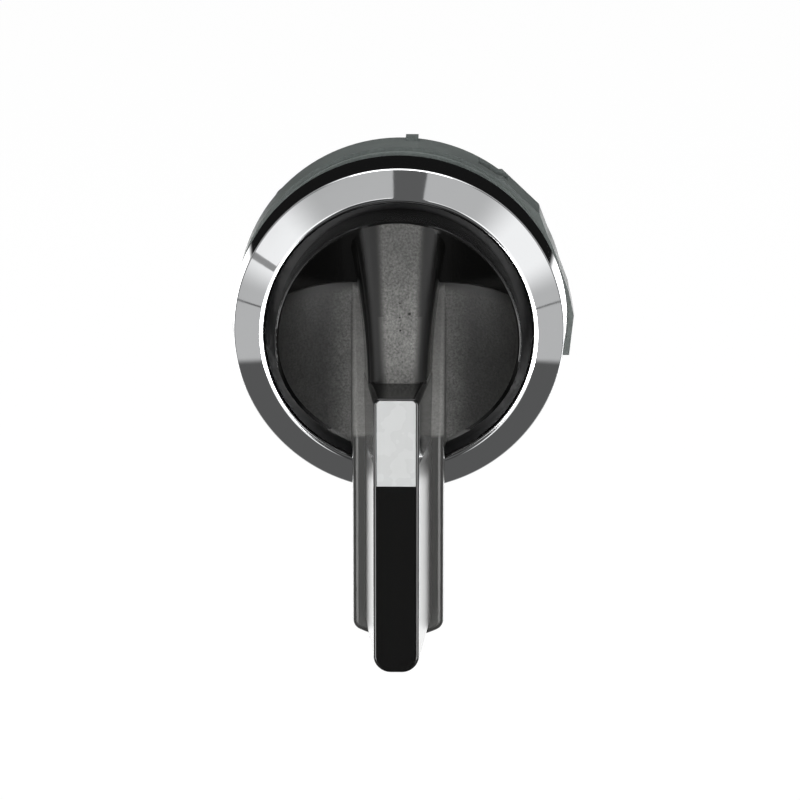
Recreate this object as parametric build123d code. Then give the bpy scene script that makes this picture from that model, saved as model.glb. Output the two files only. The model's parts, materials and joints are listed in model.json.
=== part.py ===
from build123d import *
import os
from math import cos, hypot, radians, sin, sqrt

# Selector switch head with a long lever handle, for a 22 mm panel hole.
# Millimetres. The switch axis is Y: the front faces -Y, the lever hangs towards -Z, +X is to its right.
# The origin is on the axis, in the plane where the gasket meets the panel.

# Panel seat
gasket_thickness = 1.0
gasket_edge = 0.1
gasket_bore_gap = 0.35
panel_gap = 2.7

# Housing: flange in front of the panel, barrel through it
barrel_radius = 10.95
barrel_wall = 1.75
barrel_chamfer = 0.3
barrel_lip = 1.1
flange_overhang = 3.25
flange_thickness = 2.6
shoulder_width = 0.64
shoulder_y = 0.9
seal_seat_width = 1.64
seal_seat_depth = 1.8
spigot_step = 0.65
key_width = 3.0
key_height = 1.75
key_length = 1.6
key_root = 0.5

# Bezel ring
bezel_rim_wall = 0.55
bezel_side_depth = 4.25
bezel_side_draft = 0.33
bezel_face_width = 2.85
bezel_face_rise = 1.65
bezel_lip_round = 0.37
bezel_rim_round = 0.22

# Handle: dial, with a round-ended hollow on each side of the crest
dial_gap = 1.0
dial_rise = 4.2
dial_rear_gap = 0.5
dial_edge_round = 0.14
scoop_radius = 7.9
scoop_floor_rise = 0.9
scoop_rim = 0.24
scoop_end_z = 4.6
scoop_end_angle = 32.0

# Handle: crest that runs down the dial to the lever. Its sections, from the lever up to past the dial's
# rim, by height, half width at the ridge and radius of the shoulders
crest_end_z = -2.8
crest_end_rise = 7.85
crest_sections = [(-4.4, 2.46, 1.2), (4.4, 3.2, 1.75), (11.9, 5.1, 3.0)]

# Handle: lever, with a lower skirt on each side
lever_reach = 27.7
lever_front_rise = 13.4
lever_rear_rise = 2.5
lever_front_half = 1.98
lever_tip_round = 1.5
lever_top_round = 0.55
lever_edge_round = 0.22
mould_draft = 0.1
skirt_front_rise = 3.6
skirt_front_half = 4.0
skirt_tip_drop = 1.1
skirt_top_z = 4.8
skirt_full_z = -8.8
skirt_sink = 0.2
skirt_corner_round = 1.0
skirt_edge_round = 0.5
core_width = 2.4
core_front_wall = 1.6
core_top_wall = 1.32
core_end_wall = 2.3
core_rib = 0.9
core_count = 3

# Index insert in the lever's front
insert_width = 3.4
insert_length = 7.7
insert_thickness = 1.5
insert_lip = 0.18
insert_sink = 0.03
insert_corner = 0.25

# Handle: hub and hexagonal spigot
hub_fit = 0.06
hub_wall = 1.5
hub_core_inner = 4.6
hub_core_depth = 3.6
hexagon_flats = 6.0
hexagon_length = 3.3
screw_hole_depth = 6.0

# Rotor with a slanting rear face that drives the two pushers
rotor_fit = 0.08
rotor_front_gap = 0.1
rotor_thin_edge = 3.28
rotor_web = 0.8
turn_angle = 45.0
pusher_stroke = 1.5

# Screw that holds the rotor to the handle
screw_radius = 1.45
screw_head_radius = 2.6
screw_head_height = 1.7
screw_slot_width = 0.7
screw_slot_depth = 0.7

# Detent: a ball and a spring in each side of the rotor, notches in the chamber wall
ball_radius = 1.1
ball_inset = 2.0
ball_pocket_fit = 0.06
ball_pocket_wall = 1.08
notch_depth = 0.45
notch_run = 1.3
detent_coil_radius = 0.72
detent_wire = 0.28
detent_pitch = 0.67

# Pushers and their springs
pusher_inset = 3.92
pusher_nose_radius = 1.4
pusher_nose_gap = 0.12
pusher_head_radius = 2.0
pusher_nose_length = 0.5
pusher_head_length = 0.9
pusher_stem_radius = 1.0
pusher_stem_chamfer = 0.2
pusher_overrun = 0.5
pusher_coil_radius = 1.5
pusher_wire = 0.35
pusher_pitch = 0.86

# Rear guide plate and its retaining clip
plate_y = 14.0
plate_thickness = 2.0
plate_seat_wall = 0.75
plate_boss_radius = 2.4
plate_boss_height = 0.9
plate_hole_radius = 1.6
clip_thickness = 0.8
clip_groove_depth = 0.4
clip_width = 1.2
clip_gap_width = 5.0
clip_ear_radius = 1.1
clip_ear_hole = 0.45

# Fixing collar behind the panel, with a lug on its right given by its corners:
# how far each lies past the collar's radius, and its height
collar_width = 4.05
collar_fit = 0.15
collar_thickness = 5.2
collar_chamfer = 0.3
collar_step = 0.35
collar_step_depth = 0.45
lug_corners = [(-5.8, 12.1), (-2.4, 8.85), (0.3, 1.7), (0.8, -0.6), (0.4, -4.3)]
nib_width = 1.15
nib_offset = 1.0
nib_height = 0.25
nib_root = 0.6
nib_length = 1.6

# Locking lever in the collar, which reaches into the barrel's groove
lock_rear_wall = 1.0
lock_thickness = 2.2
lock_pivot_inset = 1.8
lock_pivot_angle = 50.0
lock_eye_radius = 1.6
lock_pin_radius = 0.6
lock_arm_gap = 0.25
lock_tail_angle = -17.0
lock_slot_top_angle = 62.0
lock_slot_low_angle = -24.0
lock_jaw_half_angle = 8.0
groove_depth = 0.75
jaw_gap = 0.15

# Clamp screws in the collar
clamp_angles = {"clamp_screw_upper": 140.0, "clamp_screw_lower": 245.0}
clamp_inset = 1.8
clamp_shank_radius = 1.2
clamp_head_radius = 1.7
clamp_head_height = 1.2
clamp_slot_width = 0.5
clamp_slot_depth = 0.6
clamp_tip = 0.2
clamp_head_gap = 0.2

# Springs
wire_sides = 6

# Fits
running_fit = 0.05
seat_fit = 0.02
side_fit = 0.1
cut_margin = 2.0

# Radii that follow from the barrel's, outwards and inwards
flange_radius = barrel_radius + flange_overhang
gasket_radius = flange_radius + gasket_edge
bezel_rim_radius = flange_radius + bezel_rim_wall
bezel_bore_radius = bezel_rim_radius - bezel_face_width
dial_radius = bezel_bore_radius - dial_gap
collar_bore_radius = barrel_radius + collar_fit
collar_radius = barrel_radius + collar_width
spigot_radius = barrel_radius - spigot_step
plate_seat_radius = spigot_radius - plate_seat_wall
clip_groove_radius = plate_seat_radius + clip_groove_depth
clip_outer_radius = clip_groove_radius - side_fit
clip_inner_radius = clip_outer_radius - clip_width
chamber_radius = barrel_radius - barrel_wall
rotor_radius = chamber_radius - rotor_fit
pusher_offset = rotor_radius - pusher_inset
front_bore_radius = chamber_radius - shoulder_width
hub_radius = front_bore_radius - hub_fit
seal_seat_radius = front_bore_radius + seal_seat_width

# Depths in front of the panel
flange_rear_y = -gasket_thickness
flange_front_y = flange_rear_y - flange_thickness
bezel_rear_y = flange_rear_y - running_fit
bezel_rim_y = bezel_rear_y - bezel_side_depth
dial_front_y = bezel_rim_y - dial_rise
dial_rear_y = flange_front_y - dial_rear_gap
scoop_floor_y = bezel_rim_y - scoop_floor_rise
lever_front_y = bezel_rim_y - lever_front_rise
lever_rear_y = bezel_rim_y - lever_rear_rise
skirt_front_y = bezel_rim_y - skirt_front_rise
crest_end_y = bezel_rim_y - crest_end_rise
insert_top_z = crest_end_z - insert_lip
insert_low_z = insert_top_z - insert_length

# Depths behind the panel
rotor_front_y = shoulder_y + rotor_front_gap
socket_end_y = rotor_front_y + hexagon_length
head_seat_y = socket_end_y + rotor_web
ball_y = rotor_front_y + ball_inset
cam_slope = pusher_stroke / (pusher_offset * sin(radians(turn_angle)))
cam_reach = cam_slope * rotor_radius
rotor_cam_y = rotor_front_y + rotor_thin_edge + cam_reach
pusher_nose_y = rotor_cam_y + (pusher_nose_radius + pusher_nose_gap) * hypot(1, cam_slope)
pusher_head_y = pusher_nose_y + pusher_nose_length
pusher_shoulder_y = pusher_head_y + pusher_head_length
clip_y = plate_y + plate_thickness
clip_rear_y = clip_y + clip_thickness
barrel_end_y = clip_rear_y + side_fit + barrel_lip
collar_y = panel_gap
collar_rear_y = collar_y + collar_thickness
spigot_y = collar_rear_y + clamp_head_height + clamp_head_gap
lock_rear_y = collar_rear_y - lock_rear_wall
lock_y = lock_rear_y - lock_thickness

# Places in the rotor and the collar
hexagon_socket = hexagon_flats / 2 + running_fit
ball_pocket_floor = hexagon_socket / cos(radians(30)) + ball_pocket_wall
ball_centre = chamber_radius - running_fit - ball_radius
lock_pivot_radius = collar_radius - lock_pivot_inset
pivot_x = lock_pivot_radius * cos(radians(lock_pivot_angle))
pivot_z = lock_pivot_radius * sin(radians(lock_pivot_angle))


def front_plane(y, x=0.0, z=0.0):
    """Plane seen from the front: its own x is X, its own y is Z, its normal points forward."""
    return Plane(origin=(x, y, z), x_dir=(1, 0, 0), z_dir=(0, -1, 0))


def disc(radius, y_front, y_rear, x=0.0, z=0.0):
    """Round bar along Y between two depths."""
    return extrude(front_plane(y_rear, x, z) * Circle(radius), amount=y_rear - y_front)


def slab(outline, y_front, y_rear):
    """Front-view outline made solid between two depths."""
    return extrude(front_plane(y_rear) * outline, amount=y_rear - y_front)


def block(x_range, y_range, z_range):
    """Box between two limits on each axis."""
    sizes = [r[1] - r[0] for r in (x_range, y_range, z_range)]
    centre = [(r[0] + r[1]) / 2 for r in (x_range, y_range, z_range)]
    return Pos(*centre) * Box(*sizes)


def side_cut(points):
    """Side-view outline of depths and heights, made solid across the whole handle."""
    outline = make_face(Plane.YZ * Polyline(*points, close=True))
    return extrude(outline, amount=2 * dial_radius, both=True)


def profile(points):
    """Closed face through the points, in the radius and depth plane."""
    return make_face(Polyline(*points, close=True))


def turned(face):
    """Solid of revolution about the switch axis."""
    return revolve(face, axis=Axis.Y)


def near(face, point):
    """The face's corner at a point, for rounding it."""
    return face.vertices().sort_by_distance((point[0], point[1], 0))[0]


def polar(radius, angle):
    """Front-view point at a radius and an angle from +X."""
    return (radius * cos(radians(angle)), radius * sin(radians(angle)))


def sector(inner, outer, low_angle, high_angle):
    """Front-view ring sector between two radii and two angles."""
    middle = (low_angle + high_angle) / 2
    edges = [
        ThreePointArc(polar(outer, low_angle), polar(outer, middle), polar(outer, high_angle)),
        Line(polar(outer, high_angle), polar(inner, high_angle)),
        ThreePointArc(polar(inner, high_angle), polar(inner, middle), polar(inner, low_angle)),
        Line(polar(inner, low_angle), polar(outer, low_angle)),
    ]
    return make_face(edges)


def coil(mean_radius, wire, length, pitch):
    """Open helical spring along +Z from z = 0, its wire drawn with a few flat sides."""
    path = Helix(pitch=pitch, height=length - wire, radius=mean_radius)
    section = Plane(origin=path @ 0, z_dir=path % 0) * RegularPolygon(wire / 2, wire_sides)
    return Pos(0, 0, wire / 2) * sweep(section, path=path, is_frenet=True)


def make_bezel_ring():
    skirt_radius = flange_radius + running_fit
    seat = flange_front_y - running_fit
    rim = (bezel_rim_radius, bezel_rim_y)
    lip = (bezel_bore_radius, bezel_rim_y - bezel_face_rise)
    face = profile([
        rim,
        (bezel_rim_radius + bezel_side_draft, bezel_rear_y),
        (skirt_radius, bezel_rear_y),
        (skirt_radius, seat),
        (bezel_bore_radius, seat),
        lip,
    ])
    face = fillet(near(face, rim), bezel_rim_round)
    face = fillet(near(face, lip), bezel_lip_round)
    return turned(face)


def make_panel_gasket():
    ring = disc(gasket_radius, flange_rear_y, 0)
    ring -= disc(barrel_radius + gasket_bore_gap, flange_rear_y, 0)
    half = key_width / 2 + side_fit
    top = barrel_radius + key_height + side_fit
    return ring - block((-half, half), (flange_rear_y, 0), (0, top))


def make_housing_barrel():
    groove_radius = barrel_radius - groove_depth
    groove_front = lock_y - side_fit
    groove_rear = lock_rear_y + side_fit
    clip_slot_rear = clip_rear_y + side_fit
    seal_rear = flange_front_y + seal_seat_depth
    body = turned(profile([
        (flange_radius, flange_front_y),
        (flange_radius, flange_rear_y),
        (barrel_radius, flange_rear_y),
        (barrel_radius, groove_front),
        (groove_radius, groove_front),
        (groove_radius, groove_rear),
        (barrel_radius, groove_rear),
        (barrel_radius, spigot_y),
        (spigot_radius, spigot_y),
        (spigot_radius, barrel_end_y - barrel_chamfer),
        (spigot_radius - barrel_chamfer, barrel_end_y),
        (plate_seat_radius, barrel_end_y),
        (plate_seat_radius, clip_slot_rear),
        (clip_groove_radius, clip_slot_rear),
        (clip_groove_radius, clip_y),
        (plate_seat_radius, clip_y),
        (plate_seat_radius, plate_y),
        (chamber_radius, plate_y),
        (chamber_radius, shoulder_y),
        (front_bore_radius, shoulder_y),
        (front_bore_radius, seal_rear),
        (seal_seat_radius, seal_rear),
        (seal_seat_radius, flange_front_y),
    ]))
    half = key_width / 2
    body += block(
        (-half, half), (flange_rear_y, key_length), (chamber_radius + key_root, barrel_radius + key_height)
    )
    notch_radius = ball_radius + running_fit
    notch_centre = chamber_radius + notch_depth - notch_radius
    for side in (0, 180):
        for turn in (-turn_angle, 0, turn_angle):
            x, z = polar(notch_centre, side + turn)
            body -= disc(notch_radius, shoulder_y, ball_y + notch_run, x, z)
    return body


def make_scoops():
    """Hollows left and right of the crest: each runs down to the lever, and slopes up to the rim at its top."""
    axis_y = scoop_floor_y - scoop_radius
    half_width = sqrt(scoop_radius ** 2 - (axis_y - dial_front_y) ** 2)
    offset = dial_radius - scoop_rim - half_width
    lean = radians(scoop_end_angle)
    bend_z = scoop_end_z - scoop_radius * sin(lean / 2) / cos(lean / 2)
    reach = 2 * lever_reach
    inside = disc(dial_radius - scoop_rim, dial_front_y - cut_margin, dial_rear_y)
    below = block((-reach, reach), (-reach, dial_rear_y), (-reach, 0))
    scoops = []
    for side in (-1, 1):
        bend = (side * offset, axis_y, bend_z)
        mitre = Plane(origin=bend, z_dir=(0, -sin(lean / 2), cos(lean / 2)))
        runs = ((Plane(origin=bend, z_dir=(0, 0, 1)), Keep.BOTTOM),
                (Plane(origin=bend, z_dir=(0, -sin(lean), cos(lean))), Keep.TOP))
        for plane, kept in runs:
            bar = extrude(plane * Circle(scoop_radius), amount=reach, both=True)
            bar = split(bar, bisect_by=mitre, keep=kept)
            scoops += [bar & inside, bar & below] if kept == Keep.BOTTOM else [bar & inside]
    return scoops


def make_dial():
    dial = disc(dial_radius, dial_front_y, dial_rear_y)
    dial = fillet(dial.edges().group_by(Axis.Y)[0], dial_edge_round)
    for scoop in make_scoops():
        dial -= scoop
    return dial


def lever_outline(extra):
    """Front view of the lever, widened by a margin on both sides."""
    half = lever_front_half + extra
    outline = make_face(Polyline(
        (half, crest_end_z), (half, -lever_reach), (-half, -lever_reach), (-half, crest_end_z), close=True
    ))
    outline = fillet(outline.vertices().group_by(Axis.Y)[0], lever_tip_round + extra)
    return fillet(outline.vertices().group_by(Axis.Y)[-1], lever_top_round)


def crest_section(z, half, shoulder):
    """Level cut through the crest: drafted sides, and shoulders rounded up to the ridge."""
    slope = (crest_end_y - dial_front_y) / (dial_radius - crest_end_z)
    ridge_y = dial_front_y + slope * (dial_radius - z)
    base = half + (dial_rear_y - ridge_y) * mould_draft
    outline = make_face(Polyline(
        (-half, ridge_y), (half, ridge_y), (base, dial_rear_y), (-base, dial_rear_y), close=True
    ))
    outline = fillet(outline.vertices().group_by(Axis.Y)[0], shoulder)
    return Plane.XY.offset(z) * outline


def skirt_outline(half):
    """Front view of the skirt, its tip slightly bowed."""
    corner_z = -lever_reach + skirt_tip_drop
    outline = make_face([
        Polyline((half, corner_z), (half, skirt_top_z), (-half, skirt_top_z), (-half, corner_z)),
        ThreePointArc((half, corner_z), (0, -lever_reach), (-half, corner_z)),
    ])
    return fillet(outline.vertices().group_by(Axis.Y)[0], skirt_corner_round)


def handle_space():
    """Room that the lever may fill: in front of the bezel's face, and over the dial as deep as the dial."""
    far = lever_reach + cut_margin
    ahead = block((-far, far), (lever_front_y - cut_margin, lever_rear_y), (-far, 0))
    return ahead + disc(dial_radius, lever_front_y - cut_margin, dial_rear_y)


def make_crest():
    """Round-shouldered ridge that rises from the dial's rim towards the lever."""
    return loft([crest_section(*section) for section in crest_sections]) & handle_space()


def make_lever():
    """Tall lever with drafted sides, its top end standing over the crest as a step."""
    spread = (dial_rear_y - lever_front_y) * mould_draft
    body = loft([
        front_plane(dial_rear_y) * lever_outline(spread),
        front_plane(lever_front_y) * lever_outline(0),
    ])
    body = fillet(body.edges().group_by(Axis.Y)[0], lever_edge_round)
    return body & handle_space()


def make_skirt():
    """Thin skirt on both sides of the lever, which slopes up from the hollows' floor."""
    spread = (dial_rear_y - skirt_front_y) * mould_draft
    body = loft([
        front_plane(dial_rear_y) * skirt_outline(skirt_front_half + spread),
        front_plane(skirt_front_y) * skirt_outline(skirt_front_half),
    ])
    low = -lever_reach - cut_margin
    body &= side_cut([
        (dial_rear_y, skirt_top_z), (scoop_floor_y + skirt_sink, skirt_top_z),
        (skirt_front_y, skirt_full_z), (skirt_front_y, low), (dial_rear_y, low),
    ])
    ramp_middle = (0, (scoop_floor_y + skirt_front_y) / 2, (skirt_top_z + skirt_full_z) / 2)
    ramp, front = body.faces().sort_by_distance(ramp_middle)[0], body.faces().sort_by(Axis.Y)[0]
    rounded = [edge for edge in ramp.edges() if abs(edge.center().X) > skirt_front_half / 2]
    rounded += [edge for edge in front.edges() if edge.center().Z < skirt_full_z - skirt_edge_round]
    return fillet(rounded, skirt_edge_round) & handle_space()


def make_selector_handle():
    body = make_dial() + make_crest() + make_lever() + make_skirt()

    hub = disc(hub_radius, dial_rear_y, shoulder_y)
    hub -= disc(hub_radius - hub_wall, shoulder_y - hub_core_depth, shoulder_y)
    hub += disc(hub_core_inner, shoulder_y - hub_core_depth, shoulder_y)
    hexagon_end = socket_end_y - side_fit
    hub += slab(RegularPolygon(hexagon_flats / 2, 6, major_radius=False), shoulder_y, hexagon_end)
    hub -= disc(screw_radius + running_fit, hexagon_end - screw_hole_depth, hexagon_end)
    body += hub

    half = insert_width / 2 + seat_fit
    pocket_floor = lever_front_y + insert_sink + insert_thickness + seat_fit
    pocket_heights = (insert_low_z - seat_fit, insert_top_z + seat_fit)
    body -= block((-half, half), (lever_front_y - cut_margin, pocket_floor), pocket_heights)

    core_top_z = insert_low_z - core_top_wall
    core_low_z = -lever_reach + core_end_wall
    pitch = (core_top_z - core_low_z + core_rib) / core_count
    for index in range(core_count):
        top = core_top_z - index * pitch
        low = top - pitch + core_rib
        depths = (lever_front_y + core_front_wall, lever_rear_y + cut_margin)
        body -= block((-core_width / 2, core_width / 2), depths, (low, top))
    return body


def make_index_insert():
    front = lever_front_y + insert_sink
    outline = make_face(Polyline(
        (-insert_width / 2, insert_low_z), (insert_width / 2, insert_low_z),
        (insert_width / 2, insert_top_z), (-insert_width / 2, insert_top_z), close=True
    ))
    outline = chamfer(outline.vertices().group_by(Axis.Y)[-1], insert_corner)
    return slab(outline, front, front + insert_thickness)


def make_hub_seal():
    inner = hub_radius + running_fit
    outer = seal_seat_radius - seat_fit
    front = flange_front_y + side_fit
    rear = flange_front_y + seal_seat_depth - seat_fit
    middle = (inner + outer) / 2
    waist = (rear - front) / 4
    return turned(profile([
        (inner, front), (middle, front + waist), (outer, front),
        (outer, rear), (middle, rear - waist), (inner, rear),
    ]))


def make_cam_rotor():
    slanted = make_face(Plane.YZ * Polyline(
        (rotor_front_y, -rotor_radius), (rotor_cam_y + cam_reach, -rotor_radius),
        (rotor_cam_y - cam_reach, rotor_radius), (rotor_front_y, rotor_radius), close=True
    ))
    body = extrude(slanted, amount=rotor_radius, both=True)
    body &= disc(rotor_radius, rotor_front_y, rotor_cam_y + cam_reach)
    body -= slab(RegularPolygon(hexagon_socket, 6, major_radius=False), rotor_front_y, socket_end_y)
    body -= disc(screw_radius + side_fit, socket_end_y, head_seat_y)
    body -= disc(screw_head_radius + side_fit, head_seat_y, rotor_cam_y + cam_reach)
    for side in (-1, 1):
        pocket = Plane(origin=(side * ball_pocket_floor, ball_y, 0), z_dir=(side, 0, 0))
        body -= extrude(pocket * Circle(ball_radius + ball_pocket_fit), amount=rotor_radius)
    return body


def make_rotor_screw():
    tip_y = socket_end_y - screw_hole_depth
    body = disc(screw_head_radius, head_seat_y, head_seat_y + screw_head_height)
    body += disc(screw_radius, tip_y, head_seat_y)
    slot = block(
        (-screw_head_radius, screw_head_radius),
        (head_seat_y + screw_head_height - screw_slot_depth, head_seat_y + screw_head_height),
        (-screw_slot_width / 2, screw_slot_width / 2),
    )
    return body - slot


def make_detent_ball(side):
    return Pos(side * ball_centre, ball_y, 0) * Sphere(ball_radius)


def make_detent_spring(side):
    start = ball_pocket_floor + seat_fit
    length = ball_centre - ball_radius - seat_fit - start
    spring = coil(detent_coil_radius, detent_wire, length, detent_pitch)
    return Plane(origin=(side * start, ball_y, 0), z_dir=(side, 0, 0)) * spring


def make_pusher(side):
    rear = barrel_end_y + pusher_overrun
    nose = Pos(0, pusher_nose_y, 0) * Sphere(pusher_nose_radius)
    body = nose + disc(pusher_nose_radius, pusher_nose_y, pusher_head_y)
    body += disc(pusher_head_radius, pusher_head_y, pusher_shoulder_y)
    stem = disc(pusher_stem_radius, pusher_shoulder_y, rear)
    stem = chamfer(stem.edges().group_by(Axis.Y)[-1], pusher_stem_chamfer)
    return Pos(side * pusher_offset, 0, 0) * (body + stem)


def make_pusher_spring(side):
    start = pusher_shoulder_y + seat_fit
    length = plate_y - seat_fit - start
    spring = coil(pusher_coil_radius, pusher_wire, length, pusher_pitch)
    return Plane(origin=(side * pusher_offset, start, 0), z_dir=(0, 1, 0)) * spring


def make_guide_plate():
    front = plate_y + seat_fit
    rear = clip_y - seat_fit
    body = disc(plate_seat_radius - running_fit, front, rear)
    for side in (-1, 1):
        body += disc(plate_boss_radius, rear, rear + plate_boss_height, side * pusher_offset)
    for side in (-1, 1):
        body -= disc(
            pusher_stem_radius + running_fit, front, rear + plate_boss_height, side * pusher_offset
        )
    return body - disc(plate_hole_radius, front, rear)


def make_retaining_clip():
    body = disc(clip_outer_radius, clip_y, clip_rear_y) - disc(clip_inner_radius, clip_y, clip_rear_y)
    half_gap = clip_gap_width / 2
    body -= block((-half_gap, half_gap), (clip_y, clip_rear_y), (0, clip_outer_radius))
    ear_x = half_gap + clip_ear_radius / 2
    ear_z = sqrt(clip_inner_radius ** 2 - ear_x ** 2) - clip_ear_radius / 2
    for side in (-1, 1):
        body += disc(clip_ear_radius, clip_y, clip_rear_y, side * ear_x, ear_z)
    for side in (-1, 1):
        body -= disc(clip_ear_hole, clip_y, clip_rear_y, side * ear_x, ear_z)
    return body


def collar_outline():
    """Front view of the collar: a disc with a faceted lug on its right side."""
    corners = [(collar_radius + reach, z) for reach, z in lug_corners]
    lug = make_face(Polyline((0, corners[0][1]), *corners, (0, corners[-1][1]), close=True))
    return Circle(collar_radius) + lug


def make_fixing_collar():
    body = slab(collar_outline(), collar_y, collar_rear_y)
    body = chamfer(body.edges().group_by(Axis.Y)[-1], collar_chamfer)
    body -= disc(collar_radius + cut_margin, collar_y, collar_y + collar_step_depth)
    body += disc(collar_radius - collar_step, collar_y, collar_y + collar_step_depth)
    nib_low = nib_offset - nib_width / 2
    body += block(
        (nib_low, nib_low + nib_width), (collar_rear_y - nib_length, collar_rear_y),
        (collar_radius - nib_root, collar_radius + nib_height),
    )
    body -= disc(collar_bore_radius, collar_y, collar_rear_y)
    inner = collar_bore_radius - cut_margin
    slot = sector(inner, collar_radius + cut_margin, lock_slot_low_angle, lock_slot_top_angle)
    body -= slab(slot, lock_y - side_fit, lock_rear_y + side_fit)
    body -= disc(lock_pin_radius + seat_fit, collar_y, collar_rear_y, pivot_x, pivot_z)
    for angle in clamp_angles.values():
        x, z = polar(collar_radius - clamp_inset, angle)
        body -= disc(clamp_shank_radius + seat_fit, collar_y, collar_rear_y, x, z)
    return body


def make_locking_lever():
    arm_inner = collar_bore_radius + lock_arm_gap
    arm = sector(arm_inner, collar_radius + cut_margin, lock_tail_angle, lock_pivot_angle)
    arm &= collar_outline()
    arm += Pos(pivot_x, pivot_z) * Circle(lock_eye_radius)
    jaw_radius = barrel_radius - groove_depth + jaw_gap
    arm += sector(jaw_radius, arm_inner + lock_eye_radius, -lock_jaw_half_angle, lock_jaw_half_angle)
    body = slab(arm, lock_y, lock_rear_y)
    return body - disc(lock_pin_radius + running_fit, lock_y, lock_rear_y, pivot_x, pivot_z)


def make_lever_pin():
    return disc(lock_pin_radius, collar_y + collar_step_depth, collar_rear_y - side_fit, pivot_x, pivot_z)


def make_clamp_screw(angle):
    x, z = polar(collar_radius - clamp_inset, angle)
    top = collar_rear_y + clamp_head_height
    body = disc(clamp_head_radius, collar_rear_y, top, x, z)
    body += disc(clamp_shank_radius, collar_y - clamp_tip, collar_rear_y, x, z)
    slot = block(
        (x - clamp_head_radius, x + clamp_head_radius), (top - clamp_slot_depth, top),
        (z - clamp_slot_width / 2, z + clamp_slot_width / 2),
    )
    return body - slot


pieces = {
    "bezel_ring": make_bezel_ring(),
    "panel_gasket": make_panel_gasket(),
    "housing_barrel": make_housing_barrel(),
    "selector_handle": make_selector_handle(),
    "index_insert": make_index_insert(),
    "hub_seal": make_hub_seal(),
    "cam_rotor": make_cam_rotor(),
    "rotor_screw": make_rotor_screw(),
    "guide_plate": make_guide_plate(),
    "retaining_clip": make_retaining_clip(),
    "fixing_collar": make_fixing_collar(),
    "locking_lever": make_locking_lever(),
    "lever_pin": make_lever_pin(),
}
for side_name, side in (("left", -1), ("right", 1)):
    pieces["detent_ball_" + side_name] = make_detent_ball(side)
    pieces["detent_spring_" + side_name] = make_detent_spring(side)
    pieces["pusher_" + side_name] = make_pusher(side)
    pieces["pusher_spring_" + side_name] = make_pusher_spring(side)
for screw_name, angle in clamp_angles.items():
    pieces[screw_name] = make_clamp_screw(angle)

os.makedirs("parts", exist_ok=True)
for name, piece in pieces.items():
    export_step(piece, f"parts/{name}.step")
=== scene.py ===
import json
from math import cos, pi, radians, sin

import bmesh
import bpy
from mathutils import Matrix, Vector


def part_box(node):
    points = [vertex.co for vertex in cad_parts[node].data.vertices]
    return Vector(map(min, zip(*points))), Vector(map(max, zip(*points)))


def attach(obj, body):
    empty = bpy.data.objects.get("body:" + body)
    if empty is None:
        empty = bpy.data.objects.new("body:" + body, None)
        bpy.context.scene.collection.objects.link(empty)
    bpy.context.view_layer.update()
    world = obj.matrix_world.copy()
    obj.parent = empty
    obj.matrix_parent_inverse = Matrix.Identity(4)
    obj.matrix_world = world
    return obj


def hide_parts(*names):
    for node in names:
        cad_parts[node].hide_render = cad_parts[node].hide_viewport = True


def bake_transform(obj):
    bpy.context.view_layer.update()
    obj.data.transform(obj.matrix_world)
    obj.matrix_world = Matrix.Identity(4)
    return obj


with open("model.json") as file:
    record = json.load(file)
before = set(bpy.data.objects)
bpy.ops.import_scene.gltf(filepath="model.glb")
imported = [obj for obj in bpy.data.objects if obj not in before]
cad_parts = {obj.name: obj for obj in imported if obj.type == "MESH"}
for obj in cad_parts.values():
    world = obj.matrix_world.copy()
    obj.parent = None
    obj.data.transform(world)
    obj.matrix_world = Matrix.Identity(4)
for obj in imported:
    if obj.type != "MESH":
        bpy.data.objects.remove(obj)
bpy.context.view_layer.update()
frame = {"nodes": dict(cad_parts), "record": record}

mm = 0.001
nodes = frame["nodes"]
collection = bpy.context.scene.collection

# Places on the switch
rim_y = -5.3 * mm
crest_step_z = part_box("index_insert")[1].z + 0.18 * mm
crest_step_y = rim_y - 8.05 * mm
lever_front_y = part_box("selector_handle")[0].y
lever_side_y = lever_front_y + 0.3 * mm
collar_front_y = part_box("fixing_collar")[0].y

# Camera, at the photograph's viewing angle
view_azimuth = radians(1.0)
view_elevation = radians(14.7)
view_distance = 400 * mm
frame_width = 71.75 * mm
sensor_width = 36.0
near_limit, far_limit = 10 * mm, 20
aim = Vector((0.1 * mm, rim_y, -6.4 * mm))


def add_camera():
    """Camera that looks at the switch from the front, a little from above."""
    direction = Vector((
        sin(view_azimuth) * cos(view_elevation),
        -cos(view_azimuth) * cos(view_elevation),
        sin(view_elevation),
    ))
    data = bpy.data.cameras.new("camera")
    data.sensor_width = sensor_width
    data.lens = sensor_width * view_distance / frame_width
    data.clip_start = near_limit
    data.clip_end = far_limit
    camera = bpy.data.objects.new("camera", data)
    camera.location = aim + direction * view_distance
    camera.rotation_euler = direction.to_track_quat("Z", "Y").to_euler()
    collection.objects.link(camera)
    bpy.context.scene.camera = camera


# Shader nodes. A value is a number or another node's output.
def link(tree, source, target):
    tree.links.new(source, target)


def feed(tree, value, socket):
    """Set a number on a socket, or link an output to it."""
    if isinstance(value, (int, float)):
        socket.default_value = value
    else:
        link(tree, value, socket)


def math_node(tree, operation, *values):
    node = tree.nodes.new("ShaderNodeMath")
    node.operation = operation
    for index, value in enumerate(values):
        feed(tree, value, node.inputs[index])
    return node.outputs[0]


def product(tree, first, *others):
    for other in others:
        first = math_node(tree, "MULTIPLY", first, other)
    return first


def largest(tree, first, *others):
    for other in others:
        first = math_node(tree, "MAXIMUM", first, other)
    return first


def distance(tree, across, up):
    """How far two coordinates are from zero together."""
    squares = math_node(tree, "ADD", product(tree, across, across), product(tree, up, up))
    return math_node(tree, "SQRT", squares)


def line_through(tree, value, first, second):
    """The straight line through two points, each given as a value and the line's height there."""
    slope = (second[1] - first[1]) / (second[0] - first[0])
    return math_node(tree, "MULTIPLY_ADD", value, slope, first[1] - slope * first[0])


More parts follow.
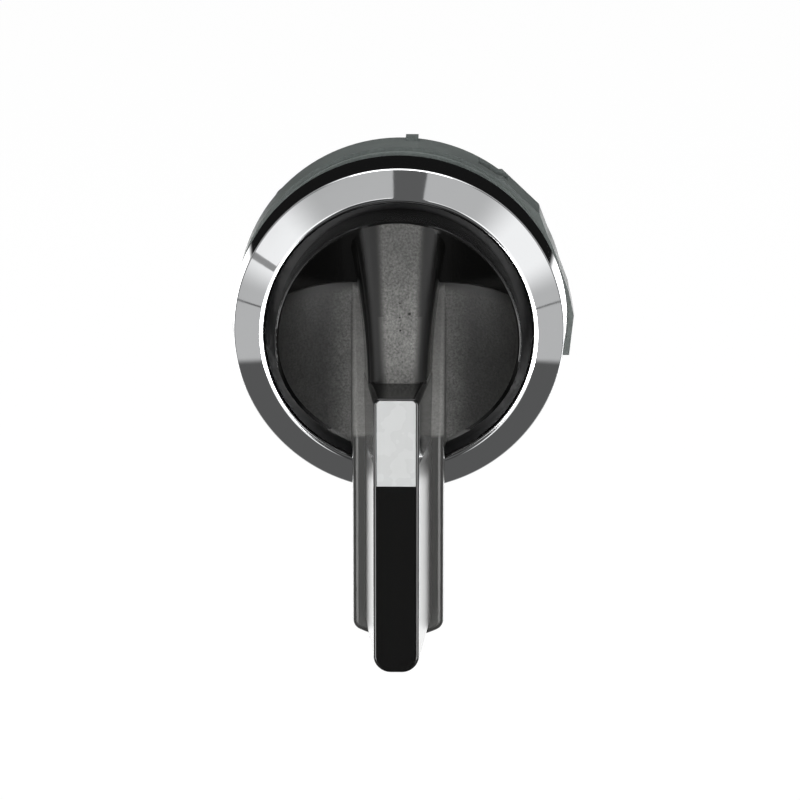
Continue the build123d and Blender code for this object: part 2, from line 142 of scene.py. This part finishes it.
def over(tree, value, limit):
    """One above a limit and zero below it."""
    return math_node(tree, "GREATER_THAN", value, limit)


def under(tree, value, limit):
    """One below a limit and zero above it."""
    return math_node(tree, "LESS_THAN", value, limit)


def step_up(tree, value, low, high):
    """Zero at low and one at high, smooth between and constant beyond them."""
    node = tree.nodes.new("ShaderNodeMapRange")
    node.interpolation_type = "SMOOTHSTEP"
    node.inputs["From Min"].default_value = low
    node.inputs["From Max"].default_value = high
    link(tree, value, node.inputs["Value"])
    return node.outputs[0]


def between(tree, value, limits, blur):
    """One between two limits and zero outside them."""
    rise = step_up(tree, value, limits[0] - blur, limits[0] + blur)
    fall = step_up(tree, value, limits[1] - blur, limits[1] + blur)
    return math_node(tree, "SUBTRACT", rise, fall)


def mix_values(tree, share, first, second):
    """First where the share is zero and second where it is one."""
    node = tree.nodes.new("ShaderNodeMix")
    feed(tree, share, node.inputs["Factor"])
    feed(tree, first, node.inputs["A"])
    feed(tree, second, node.inputs["B"])
    return node.outputs["Result"]


def split(tree, place):
    """The three parts of a place or a direction."""
    node = tree.nodes.new("ShaderNodeSeparateXYZ")
    link(tree, place, node.inputs[0])
    return node.outputs


# Studio
white = (1, 1, 1, 1)
floor_z = -75 * mm
floor_size = 8.0
floor_paint = (0.10, 0.10, 0.10, 1)
floor_glow = 0.93
floor_bounce = 0.35
dome_level = 0.35
surround_level = 1.0


def background_rays(tree):
    """One for rays that see a white surround, from the camera or through glass, then one for glossy rays."""
    path = tree.nodes.new("ShaderNodeLightPath")
    direct = largest(tree, path.outputs["Is Camera Ray"], path.outputs["Is Transmission Ray"])
    return direct, path.outputs["Is Glossy Ray"]


def add_floor():
    """Pale floor, bright to the camera and dimmer as a source of light."""
    mesh = bpy.data.meshes.new("floor")
    plate = bmesh.new()
    bmesh.ops.create_grid(plate, x_segments=1, y_segments=1, size=floor_size / 2)
    bmesh.ops.translate(plate, verts=plate.verts, vec=(0, 0, floor_z))
    plate.to_mesh(mesh)
    plate.free()
    floor = bpy.data.objects.new("floor", mesh)
    collection.objects.link(floor)
    material = bpy.data.materials.new("pale_floor")
    material.use_nodes = True
    tree = material.node_tree
    tree.nodes.clear()
    out = tree.nodes.new("ShaderNodeOutputMaterial")
    diffuse = tree.nodes.new("ShaderNodeBsdfDiffuse")
    diffuse.inputs["Color"].default_value = floor_paint
    glow = tree.nodes.new("ShaderNodeEmission")
    glow.inputs["Color"].default_value = white
    level = mix_values(tree, largest(tree, *background_rays(tree)), floor_bounce, floor_glow)
    link(tree, level, glow.inputs["Strength"])
    total = tree.nodes.new("ShaderNodeAddShader")
    link(tree, diffuse.outputs[0], total.inputs[0])
    link(tree, glow.outputs[0], total.inputs[1])
    link(tree, total.outputs[0], out.inputs["Surface"])
    mesh.materials.append(material)
    floor.visible_glossy = False


# Directions below are given by how far across they point, + to the right, and how high, from -1 to 1.
# The side walls have a dark foot, a grey face and a soft bright panel on it, both sides alike.
foot_height, foot_blur, foot_level = -0.4, 0.02, 0.1
wall_level = 0.5
panel_height, panel_blur, panel_level = (0.1, 0.5), 0.1, 1.0
# The polished face sees the walls in a ring. Inside the ring are two low boxes, a pale upper half and a
# dark middle, and outside it the studio is dark.
ring_height, ring_inside, ring_outside, outside_level = -0.128, (0.75, 0.82), (0.875, 0.93), 0.04
low_box_across, low_box_height, low_box_level = (0.16, 0.74), (-0.42, -0.08), 11.5
low_box_side_blur, low_box_top_blur = 0.02, 0.01
upper_across, upper_height, upper_level = 0.32, 0.52, 1.15
upper_side_blur, upper_top_blur = 0.06, 0.04
middle_level = 0.05
# An upright dark bar in the middle, a thin seam in the walls and a strut on the left
bar_across, bar_blur, bar_level = (-0.052, 0.155), 0.006, 0.11
seam_height, seam_blur, seam_level = (-0.075, -0.065), 0.0015, 0.14
strut_height, strut_blur, strut_level = (0.17, 0.21), 0.004, 0.30
# Behind, steep walls in line with the camera see a bright low backdrop, with a gap, and a dark one above it
backdrop_top, backdrop_blur, backdrop_level, backdrop_dark = -0.12, 0.03, 3.6, 0.008
backdrop_gap, backdrop_gap_blur = (-0.11, 0.11), 0.02
in_line_across, in_line_side_blur = (-0.68, 0.68), 0.05
in_line_height, in_line_top_blur = (-0.38, 0.46), 0.04
back_level = 0.45
behind_blur = 0.10
overhead_height, overhead_level = (0.80, 0.88), 1.25


def side_walls(tree, across, height):
    """Brightness of the walls on both sides, with their seam and the left one's strut."""
    above_foot = step_up(tree, height, foot_height - foot_blur, foot_height + foot_blur)
    walls = mix_values(tree, above_foot, foot_level, wall_level)
    walls = mix_values(tree, between(tree, height, panel_height, panel_blur), walls, panel_level)
    seam = between(tree, height, seam_height, seam_blur)
    walls = mix_values(tree, seam, walls, seam_level)
    strut = product(tree, between(tree, height, strut_height, strut_blur), under(tree, across, 0.0))
    return mix_values(tree, strut, walls, strut_level)


def front_walls(tree, across, height):
    """Brightness in front of the switch."""
    aside = math_node(tree, "ABSOLUTE", across)
    upper = largest(
        tree,
        step_up(tree, aside, upper_across - upper_side_blur, upper_across + upper_side_blur),
        step_up(tree, height, upper_height - upper_top_blur, upper_height + upper_top_blur),
    )
    inner = mix_values(tree, upper, middle_level, upper_level)
    low_box = product(
        tree,
        between(tree, aside, low_box_across, low_box_side_blur),
        between(tree, height, low_box_height, low_box_top_blur),
    )
    inner = mix_values(tree, low_box, inner, low_box_level)

    off_centre = distance(tree, across, math_node(tree, "SUBTRACT", height, ring_height))
    walls = side_walls(tree, across, height)
    front = mix_values(tree, step_up(tree, off_centre, *ring_inside), inner, walls)
    front = mix_values(tree, step_up(tree, off_centre, *ring_outside), front, outside_level)
    return mix_values(tree, between(tree, across, bar_across, bar_blur), front, bar_level)


def back_walls(tree, across, height):
    """Brightness behind the switch."""
    gap = between(tree, across, backdrop_gap, backdrop_gap_blur)
    low = mix_values(tree, gap, backdrop_level, back_level)
    above = step_up(tree, height, backdrop_top - backdrop_blur, backdrop_top + backdrop_blur)
    backdrop = mix_values(tree, above, low, backdrop_dark)
    in_line = product(
        tree,
        between(tree, across, in_line_across, in_line_side_blur),
        between(tree, height, in_line_height, in_line_top_blur),
    )
    return mix_values(tree, in_line, back_level, backdrop)


def background(tree, level):
    """White surround of a given brightness."""
    node = tree.nodes.new("ShaderNodeBackground")
    node.inputs["Color"].default_value = white
    feed(tree, level, node.inputs["Strength"])
    return node.outputs[0]


def mix_shaders(tree, share, first, second):
    """First where the share is zero and second where it is one."""
    node = tree.nodes.new("ShaderNodeMixShader")
    for index, output in enumerate((share, first, second)):
        link(tree, output, node.inputs[index])
    return node.outputs[0]


def add_world():
    """Soft surround: an even dome for diffuse light, and studio walls for what is polished."""
    world = bpy.data.worlds.new("studio")
    bpy.context.scene.world = world
    world.use_nodes = True
    tree = world.node_tree
    tree.nodes.clear()
    place = tree.nodes.new("ShaderNodeTexCoord")
    across, depth, height = split(tree, place.outputs["Generated"])
    behind = step_up(tree, depth, -behind_blur, behind_blur)
    walls = mix_values(tree, behind, front_walls(tree, across, height), back_walls(tree, across, height))
    walls = mix_values(tree, step_up(tree, height, *overhead_height), walls, overhead_level)

    camera_rays, glossy_rays = background_rays(tree)
    lit = mix_shaders(tree, glossy_rays, background(tree, dome_level), background(tree, walls))
    surround = mix_shaders(tree, camera_rays, lit, background(tree, surround_level))
    out = tree.nodes.new("ShaderNodeOutputWorld")
    link(tree, surround, out.inputs["Surface"])


# Square lamps 1 m away that face the switch: name, azimuth from the front (+ to the right), elevation,
# size in metres, radiance, and whether polish shows them
softboxes = [
    ("softbox_front", 1, 8, 0.14, 50, False),
    ("softbox_left", -40, 12, 0.5, 2.0, False),
    ("softbox_right", 40, 12, 0.5, 2.0, False),
    ("softbox_top", 0, 82, 0.8, 2.4, True),
]


def add_softbox(name, azimuth, elevation, size, radiance, in_gloss):
    side, up = radians(azimuth), radians(elevation)
    direction = Vector((sin(side) * cos(up), -cos(side) * cos(up), sin(up)))
    data = bpy.data.lights.new(name, "AREA")
    data.shape = "SQUARE"
    data.size = size
    data.energy = radiance * pi * size * size
    lamp = bpy.data.objects.new(name, data)
    lamp.location = direction
    lamp.rotation_euler = direction.to_track_quat("Z", "Y").to_euler()
    lamp.visible_glossy = in_gloss
    collection.objects.link(lamp)


# Finishes
noise_middle = (0.3, 0.7)


def new_finish(name, colour, roughness, metallic=0.0):
    """A material with its shader's plain values set, and the piece's own coordinates for its patterns."""
    material = bpy.data.materials.new(name)
    material.use_nodes = True
    tree = material.node_tree
    shader = tree.nodes["Principled BSDF"]
    shader.inputs["Base Color"].default_value = (*colour, 1)
    shader.inputs["Roughness"].default_value = roughness
    shader.inputs["Metallic"].default_value = metallic
    place = tree.nodes.new("ShaderNodeTexCoord").outputs["Object"]
    return material, tree, shader, place


def stretched(tree, place, scale):
    """The coordinates scaled by a factor for each axis."""
    node = tree.nodes.new("ShaderNodeMapping")
    node.inputs["Scale"].default_value = scale
    link(tree, place, node.inputs["Vector"])
    return node.outputs[0]


def noise(tree, place, size, detail=2.0, roughness=0.5):
    """Noise whose grains are about as large as size, in metres."""
    node = tree.nodes.new("ShaderNodeTexNoise")
    node.inputs["Scale"].default_value = 1 / size
    node.inputs["Detail"].default_value = detail
    node.inputs["Roughness"].default_value = roughness
    link(tree, place, node.inputs["Vector"])
    return node.outputs["Fac"]


def spread(tree, value, low, high):
    """The middle of a noise's range stretched to run from low to high."""
    node = tree.nodes.new("ShaderNodeMapRange")
    node.inputs["From Min"].default_value = noise_middle[0]
    node.inputs["From Max"].default_value = noise_middle[1]
    node.inputs["To Min"].default_value = low
    node.inputs["To Max"].default_value = high
    link(tree, value, node.inputs["Value"])
    return node.outputs[0]


def paint(tree, shader, colour, level):
    """Base colour as one tint times a level that varies over the piece."""
    node = tree.nodes.new("ShaderNodeVectorMath")
    node.operation = "SCALE"
    node.inputs[0].default_value = colour
    link(tree, level, node.inputs["Scale"])
    link(tree, node.outputs[0], shader.inputs["Base Color"])


def emboss(tree, shader, height, depth):
    """Bump from a height between zero and one, as deep as depth in metres."""
    node = tree.nodes.new("ShaderNodeBump")
    node.inputs["Strength"].default_value = 1.0
    node.inputs["Distance"].default_value = depth
    link(tree, height, node.inputs["Height"])
    link(tree, node.outputs[0], shader.inputs["Normal"])


def polished_chrome():
    """Bright plating with a trace of orange peel."""
    tint = (0.86, 0.87, 0.88)
    material, tree, shader, place = new_finish("polished_chrome", tint, 0.035, metallic=1.0)
    link(tree, spread(tree, noise(tree, place, 1.5 * mm), 0.025, 0.05), shader.inputs["Roughness"])
    emboss(tree, shader, noise(tree, place, 0.8 * mm, detail=1.0), 0.0006 * mm)
    return material


# Zones of the handle. The grained front ends at a radius from the axis.
grain_radius = 10.72 * mm
# The crest's flat, which widens upwards: height and half width at its ends. Its painted sheen is brightest
# in its middle.
crest_low, crest_top = (-4.4 * mm, 1.25 * mm), (11.9 * mm, 2.1 * mm)
crest_blur, crest_shift, shoulder_width = 0.45 * mm, 0.22 * mm, 1.8 * mm
crest_sheen_z, crest_sheen_reach = 1.0 * mm, 8 * mm
# The strips beside the crest, which rise towards the skirt's front: height and depth at their ends
strip_top, strip_low = (4.8 * mm, -6.0 * mm), (-8.8 * mm, -8.9 * mm)
strip_half, strip_margin, strip_blur = 4.1 * mm, 0.25 * mm, 0.2 * mm
# The floors of the hollows, up to where they slope up to the rim: depth and height of two points of that end
floor_end, floor_end_inner = (-6.2 * mm, 4.6 * mm), (-5.2 * mm, 4.887 * mm)
floor_overlap, floor_fade = 0.15 * mm, 1.2 * mm
hollow_radius, hollow_fade = 10.6 * mm, 6.8 * mm
# Round corner in which the strips and floors end beside the crest, painted back to the dark smooth level as
# shade
corner_aside, corner_z, corner_reach = 4.8 * mm, 2.8 * mm, (1.5 * mm, 2.0 * mm)
# Specks on the crest: across, up and radius
specks = [
    (1.04 * mm, 3.06 * mm, 0.13 * mm), (0.2 * mm, 3.95 * mm, 0.06 * mm),
    (0.2 * mm, 2.75 * mm, 0.07 * mm), (0.24 * mm, 1.65 * mm, 0.09 * mm),
]
# Brightness of each zone, and of its two ends where it varies. The grain makes its zones a little greyer
# than the smooth lever; the rest of these differences is painted light and shade.
smooth_level, skirt_level = 0.004, 0.042
crest_sheen_levels, strip_sheen_levels, hollow_painted_levels = (0.15, 0.075), (0.20, 0.09), (0.08, 0.018)
strip_calm = 0.6
handle_specular = 0.32
lever_roughness, skirt_roughness, grain_roughness = 0.12, 0.34, 0.54


def crest_zones(tree, x, y, z, on_front):
    """The crest's flat, then the round shoulders beside it."""
    half = line_through(tree, z, crest_low, crest_top)
    off_crest = math_node(tree, "ABSOLUTE", math_node(tree, "SUBTRACT", x, crest_shift))
    inset = math_node(tree, "SUBTRACT", half, off_crest)
    above_step = product(tree, on_front, over(tree, z, crest_step_z), over(tree, y, crest_step_y))
    on_crest = product(tree, above_step, step_up(tree, inset, -crest_blur, crest_blur))
    on_shoulders = product(tree, above_step, step_up(tree, inset, -shoulder_width, -crest_blur))
    return on_crest, on_shoulders


def strip_zone(tree, aside, y, z, on_front):
    """The strips beside the crest, down to the skirt's front."""
    strip_y = math_node(tree, "SUBTRACT", line_through(tree, z, strip_top, strip_low), strip_margin)
    above_end = step_up(tree, z, strip_low[0] - strip_blur, strip_low[0] + strip_blur)
    return product(tree, over(tree, y, strip_y), on_front, under(tree, aside, strip_half), above_end)


def floor_zones(tree, aside, y, z, from_axis):
    """The floors of the hollows, then the same faded towards their upper end."""
    under_end = math_node(tree, "SUBTRACT", line_through(tree, y, floor_end, floor_end_inner), z)
    on_floor = product(
        tree, over(tree, under_end, -floor_overlap), over(tree, aside, strip_half),
        under(tree, from_axis, hollow_radius),
    )
    return on_floor, product(tree, on_floor, step_up(tree, under_end, -floor_overlap, floor_fade))


def past_corner(tree, aside, z, on_crest):
    """Where the strips and floors have ended beside the crest, the corner that is painted dark as shade."""
    to_crest = largest(tree, math_node(tree, "SUBTRACT", corner_aside, aside), 0.0)
    to_top = largest(tree, math_node(tree, "SUBTRACT", z, corner_z), 0.0)
    past = step_up(tree, distance(tree, to_crest, to_top), *corner_reach)
    off_crest = math_node(tree, "SUBTRACT", 1.0, on_crest)
    return product(tree, past, over(tree, z, corner_z), off_crest)


def specked(tree, level, x, z):
    """The level with dark specks in it."""
    for across, up, radius in specks:
        away = distance(tree, math_node(tree, "SUBTRACT", x, across), math_node(tree, "SUBTRACT", z, up))
        level = product(tree, level, step_up(tree, away, 0.6 * radius, 1.4 * radius))
    return level


def black_handle():
    """Black moulding: gloss on the lever and walls, a sparkling grain on the crest, strips and hollows, and
    painted sheen and shade in the brightness of its zones.
    """
    material, tree, shader, place = new_finish("black_handle", (0.022, 0.022, 0.024), 0.3)
    shader.inputs["Specular IOR Level"].default_value = handle_specular
    x, y, z = split(tree, place)
    aside = math_node(tree, "ABSOLUTE", x)
    from_axis = distance(tree, x, z)
    on_front = under(tree, from_axis, grain_radius)
    on_crest, on_shoulders = crest_zones(tree, x, y, z, on_front)
    on_strip = strip_zone(tree, aside, y, z, on_front)
    on_floor, in_hollow = floor_zones(tree, aside, y, z, from_axis)
    on_skirt = product(tree, under(tree, z, strip_low[0]), over(tree, y, lever_side_y))

    # Painted sheen on the skirt, which is lighter than the smooth lever
    level = mix_values(tree, on_skirt, smooth_level, skirt_level)
    # Painted light in the hollows, brightest beside the crest and darkening outwards as painted shade;
    # towards their upper end it fades to the smooth level
    hollow = mix_values(tree, step_up(tree, aside, strip_half, hollow_fade), *hollow_painted_levels)
    level = mix_values(tree, in_hollow, level, hollow)
    # Painted sheen on the strips, brightest at their lower end by the skirt
    strip = mix_values(tree, step_up(tree, z, strip_low[0], strip_top[0]), *strip_sheen_levels)
    level = mix_values(tree, on_strip, level, strip)
    # Painted sheen on the crest, brightest at one height and dimmer above and below it
    off_middle = math_node(tree, "ABSOLUTE", math_node(tree, "SUBTRACT", z, crest_sheen_z))
    painted_crest_sheen = mix_values(tree, step_up(tree, off_middle, 0.0, crest_sheen_reach), *crest_sheen_levels)
    level = mix_values(tree, on_crest, level, painted_crest_sheen)
    # Painted shade in the corner beside the crest, where the strips and floors end
    level = mix_values(tree, past_corner(tree, aside, z, on_crest), level, smooth_level)
    level = specked(tree, level, x, z)

    grained = largest(tree, on_crest, on_strip, in_hollow)
    grain = noise(tree, place, 0.2 * mm, detail=3.0, roughness=0.65)
    blotch = noise(tree, place, 1.6 * mm, detail=2.0)
    sparkle = product(tree, spread(tree, grain, 0.45, 1.55), spread(tree, blotch, 0.85, 1.15))
    sparkling = math_node(tree, "SUBTRACT", grained, product(tree, on_strip, strip_calm))
    sparkle = mix_values(tree, sparkling, 1.0, sparkle)
    paint(tree, shader, (1.0, 0.995, 0.96), product(tree, level, sparkle))

    polish = mix_values(tree, on_skirt, lever_roughness, skirt_roughness)
    matte = largest(tree, grained, on_floor, on_shoulders)
    link(tree, mix_values(tree, matte, polish, grain_roughness), shader.inputs["Roughness"])
    emboss(tree, shader, product(tree, grain, grained), 0.03 * mm)
    return material


def black_housing():
    """Black nylon with a fine even grain."""
    tint = (0.01, 0.01, 0.0105)
    material, tree, shader, place = new_finish("black_housing", tint, 0.5)
    grain = noise(tree, place, 0.25 * mm, detail=3.0)
    paint(tree, shader, tint, spread(tree, grain, 0.8, 1.2))
    link(tree, spread(tree, grain, 0.44, 0.56), shader.inputs["Roughness"])
    emboss(tree, shader, grain, 0.006 * mm)
    return material


def white_insert():
    """White plastic with a faint moulded ripple."""
    tint = (0.60, 0.61, 0.607)
    material, tree, shader, place = new_finish("white_insert", tint, 0.25)
    ripple = noise(tree, place, 1.8 * mm, detail=2.0)
    paint(tree, shader, tint, spread(tree, ripple, 0.997, 1.003))
    link(tree, spread(tree, ripple, 0.22, 0.3), shader.inputs["Roughness"])
    return material


# Painted highlight on the collar's front edge: depths behind the front where it is full and where it ends,
# and how much it lightens the grey
collar_edge, collar_edge_end, collar_edge_highlight_gain = 0.2 * mm, 0.5 * mm, 1.7


def grey_collar():
    """Dark grey-green plastic with a satin grain and a painted highlight on its front edge."""
    tint = (0.115, 0.13, 0.125)
    material, tree, shader, place = new_finish("grey_collar", tint, 0.42)
    grain = noise(tree, place, 0.22 * mm, detail=3.0, roughness=0.6)
    cloud = noise(tree, place, 3 * mm, detail=2.0)
    depth = split(tree, place)["Y"]
    # The front edge, lightened below as a painted highlight
    on_highlighted_edge = step_up(tree, depth, collar_front_y + collar_edge_end, collar_front_y + collar_edge)
    level = product(
        tree, spread(tree, grain, 0.85, 1.15), spread(tree, cloud, 0.92, 1.08),
        mix_values(tree, on_highlighted_edge, 1.0, collar_edge_highlight_gain),
    )
    paint(tree, shader, tint, level)
    link(tree, spread(tree, grain, 0.38, 0.5), shader.inputs["Roughness"])
    emboss(tree, shader, grain, 0.008 * mm)
    return material


def black_rubber():
    """Matte rubber with a dusty bloom."""
    tint = (0.012, 0.012, 0.012)
    material, tree, shader, place = new_finish("black_rubber", tint, 0.7)
    bloom = noise(tree, place, 1.2 * mm, detail=4.0, roughness=0.7)
    paint(tree, shader, tint, spread(tree, bloom, 0.7, 1.4))
    link(tree, spread(tree, bloom, 0.62, 0.8), shader.inputs["Roughness"])
    emboss(tree, shader, bloom, 0.01 * mm)
    return material


def natural_acetal():
    """Milky uncoloured plastic with turning marks round the axis."""
    tint = (0.8, 0.79, 0.74)
    material, tree, shader, place = new_finish("natural_acetal", tint, 0.35)
    shader.inputs["Subsurface Weight"].default_value = 0.08
    shader.inputs["Subsurface Radius"].default_value = (0.6 * mm, 0.5 * mm, 0.4 * mm)
    cloud = noise(tree, place, 2 * mm, detail=2.0)
    paint(tree, shader, tint, spread(tree, cloud, 0.96, 1.03))
    marks = tree.nodes.new("ShaderNodeTexWave")
    marks.wave_type = "RINGS"
    marks.rings_direction = "Y"
    marks.inputs["Scale"].default_value = 1 / (2.5 * mm)
    marks.inputs["Distortion"].default_value = 0.4
    link(tree, place, marks.inputs["Vector"])
    emboss(tree, shader, marks.outputs["Fac"], 0.002 * mm)
    return material


def bright_steel():
    """Plated steel with fine drawn marks along the axis."""
    tint = (0.72, 0.73, 0.74)
    material, tree, shader, place = new_finish("bright_steel", tint, 0.2, metallic=1.0)
    marks = noise(tree, stretched(tree, place, (1, 0.08, 1)), 0.12 * mm, detail=3.0)
    paint(tree, shader, tint, spread(tree, marks, 0.92, 1.06))
    link(tree, spread(tree, marks, 0.14, 0.32), shader.inputs["Roughness"])
    emboss(tree, shader, marks, 0.002 * mm)
    return material


def spring_steel():
    """Drawn wire, duller and a little darker than plated steel."""
    tint = (0.5, 0.51, 0.52)
    material, tree, shader, place = new_finish("spring_steel", tint, 0.3, metallic=1.0)
    scale = noise(tree, place, 0.3 * mm, detail=4.0, roughness=0.65)
    paint(tree, shader, tint, spread(tree, scale, 0.8, 1.15))
    link(tree, spread(tree, scale, 0.24, 0.42), shader.inputs["Roughness"])
    emboss(tree, shader, scale, 0.003 * mm)
    return material


slot_finish = {
    "polished_chrome": polished_chrome(),
    "black_handle": black_handle(),
    "black_housing": black_housing(),
    "white_insert": white_insert(),
    "grey_collar": grey_collar(),
    "black_rubber": black_rubber(),
    "natural_acetal": natural_acetal(),
    "bright_steel": bright_steel(),
    "spring_steel": spring_steel(),
}

# Bezel: a turned ring with a conical face between its outer rim and the lip of its bore
bezel_rear_y, bezel_lip_y, bezel_seat_y = -1.05 * mm, -6.95 * mm, -3.65 * mm
bezel_rear_radius, bezel_rim_radius, bezel_bore_radius = 15.08 * mm, 14.75 * mm, 11.9 * mm
bezel_skirt_radius = 14.25 * mm
bezel_rim_reach, bezel_rim_segments = 0.116 * mm, 5
bezel_lip_reach, bezel_lip_segments = 0.64 * mm, 12
bezel_segments = 240
bezel_profile = [
    (bezel_rear_radius, bezel_rear_y), (bezel_rim_radius, rim_y), (bezel_bore_radius, bezel_lip_y),
    (bezel_bore_radius, bezel_seat_y), (bezel_skirt_radius, bezel_seat_y),
    (bezel_skirt_radius, bezel_rear_y),
]
flat_weight = 80
merge_distance = 0.0001 * mm
corner_margin = 0.001 * mm
crease_angle = radians(25)


def round_edges(shape, radius, y, reach, segments):
    """Round the circular edge at a radius and a depth."""
    def at_corner(vert):
        off_radius = abs(Vector((vert.co.x, vert.co.z)).length - radius)
        return abs(vert.co.y - y) < corner_margin and off_radius < corner_margin

    edges = [edge for edge in shape.edges if all(at_corner(vert) for vert in edge.verts)]
    bmesh.ops.bevel(
        shape, geom=edges, offset=reach, offset_type="OFFSET", affect="EDGES", segments=segments,
        profile=0.5, material=-1, clamp_overlap=True,
    )


def make_piece(shape, name, finish):
    """The shape as an object with smooth faces, creases and a finish."""
    for face in shape.faces:
        face.smooth = True
    for edge in shape.edges:
        edge.smooth = edge.calc_face_angle(0) < crease_angle
    mesh = bpy.data.meshes.new(name)
    shape.to_mesh(mesh)
    shape.free()
    mesh.materials.append(finish)
    piece = bpy.data.objects.new(name, mesh)
    collection.objects.link(piece)
    return piece


def make_bezel_ring():
    """The bezel turned more finely than the model's, because its polish shows every facet."""
    ring = bmesh.new()
    corners = [ring.verts.new((radius, y, 0)) for radius, y in bezel_profile]
    lines = [ring.edges.new((corners[index - 1], corners[index])) for index in range(len(corners))]
    bmesh.ops.spin(
        ring, geom=corners + lines, cent=(0, 0, 0), axis=(0, 1, 0), dvec=(0, 0, 0), angle=2 * pi,
        steps=bezel_segments, use_merge=True,
    )
    bmesh.ops.remove_doubles(ring, verts=ring.verts, dist=merge_distance)
    bmesh.ops.recalc_face_normals(ring, faces=ring.faces)
    round_edges(ring, bezel_rim_radius, rim_y, bezel_rim_reach, bezel_rim_segments)
    round_edges(ring, bezel_bore_radius, bezel_lip_y, bezel_lip_reach, bezel_lip_segments)
    bezel = make_piece(ring, "turned_bezel", slot_finish["polished_chrome"])
    flats = bezel.modifiers.new("flat_cone", "WEIGHTED_NORMAL")
    flats.keep_sharp = True
    flats.weight = flat_weight
    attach(bezel, "body")
    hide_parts("bezel_ring")


def make_pusher_spring(name, node):
    """The model's spring, merged, as a piece of its own."""
    coil = bmesh.new()
    coil.from_mesh(nodes[node].data)
    bmesh.ops.remove_doubles(coil, verts=coil.verts, dist=merge_distance)
    spring = make_piece(coil, name, slot_finish["spring_steel"])
    spring.data.attributes.remove(spring.data.attributes["custom_normal"])
    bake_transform(spring)
    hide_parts(node)


for part in frame["record"]["subparts"]:
    mesh = nodes[part["node"]].data
    mesh.materials.clear()
    mesh.materials.append(slot_finish[part["material_slot"]])

make_bezel_ring()
make_pusher_spring("coiled_spring_left", "pusher_spring_left")
make_pusher_spring("coiled_spring_right", "pusher_spring_right")
add_camera()
add_floor()
add_world()
for softbox in softboxes:
    add_softbox(*softbox)
bpy.context.scene.view_settings.view_transform = "Standard"
